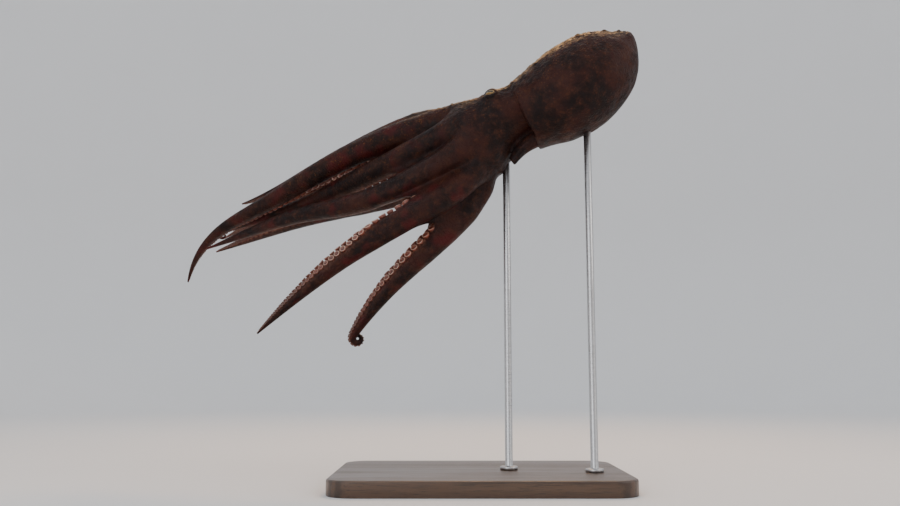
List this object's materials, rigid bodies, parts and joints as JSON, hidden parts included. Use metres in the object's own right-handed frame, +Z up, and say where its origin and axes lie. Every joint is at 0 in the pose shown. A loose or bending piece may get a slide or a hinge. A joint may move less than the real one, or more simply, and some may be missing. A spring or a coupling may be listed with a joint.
{
  "type": "octopus model",
  "caption": "Still life-size common octopus jetting mantle first with trailing arms and curled tips, held above a flat display base by slim steel rods.",
  "frame": {"origin": "middle of the display base's underside, on the floor", "axes": "+Z up; +X is where the mantle points and the way the animal travels, -X is where the arms trail; the animal's left side faces -Y"},
  "size_m": [0.5915, 0.2826, 0.5455],
  "materials": {
    "skin": "dark maroon-brown wet skin with ochre granules",
    "eye": "golden iris with a level black pupil under a clear wet surface",
    "mouth": "pale folded lip",
    "beak": "near-black horn, glossy",
    "base": "dark-stained satin wood board",
    "rod": "brushed"
  },
  "bodies": {
    "root": {"mantle": "skin", "head": "skin", "siphon": "skin", "eye_left": "eye", "eye_right": "eye", "mouth": "mouth", "beak": "beak", "arm_L1_base": "skin", "arm_L1_middle": "skin", "arm_L1_tip": "skin", "arm_L2_base": "skin", "arm_L2_middle": "skin", "arm_L2_tip": "skin", "arm_L3_base": "skin", "arm_L3_middle": "skin", "arm_L3_tip": "skin", "arm_L4_base": "skin", "arm_L4_middle": "skin", "arm_L4_tip": "skin", "arm_R4_base": "skin", "arm_R4_middle": "skin", "arm_R4_tip": "skin", "arm_R3_base": "skin", "arm_R3_middle": "skin", "arm_R3_tip": "skin", "arm_R2_base": "skin", "arm_R2_middle": "skin", "arm_R2_tip": "skin", "arm_R1_base": "skin", "arm_R1_middle": "skin", "arm_R1_tip": "skin", "web_L1_L2": "skin", "web_L2_L3": "skin", "web_L3_L4": "skin", "web_L4_R4": "skin", "web_R4_R3": "skin", "web_R3_R2": "skin", "web_R2_R1": "skin", "web_R1_L1": "skin", "stand_base": "base", "stand_rod_front": "rod", "stand_rod_rear": "rod"}
  },
  "joints": []
}
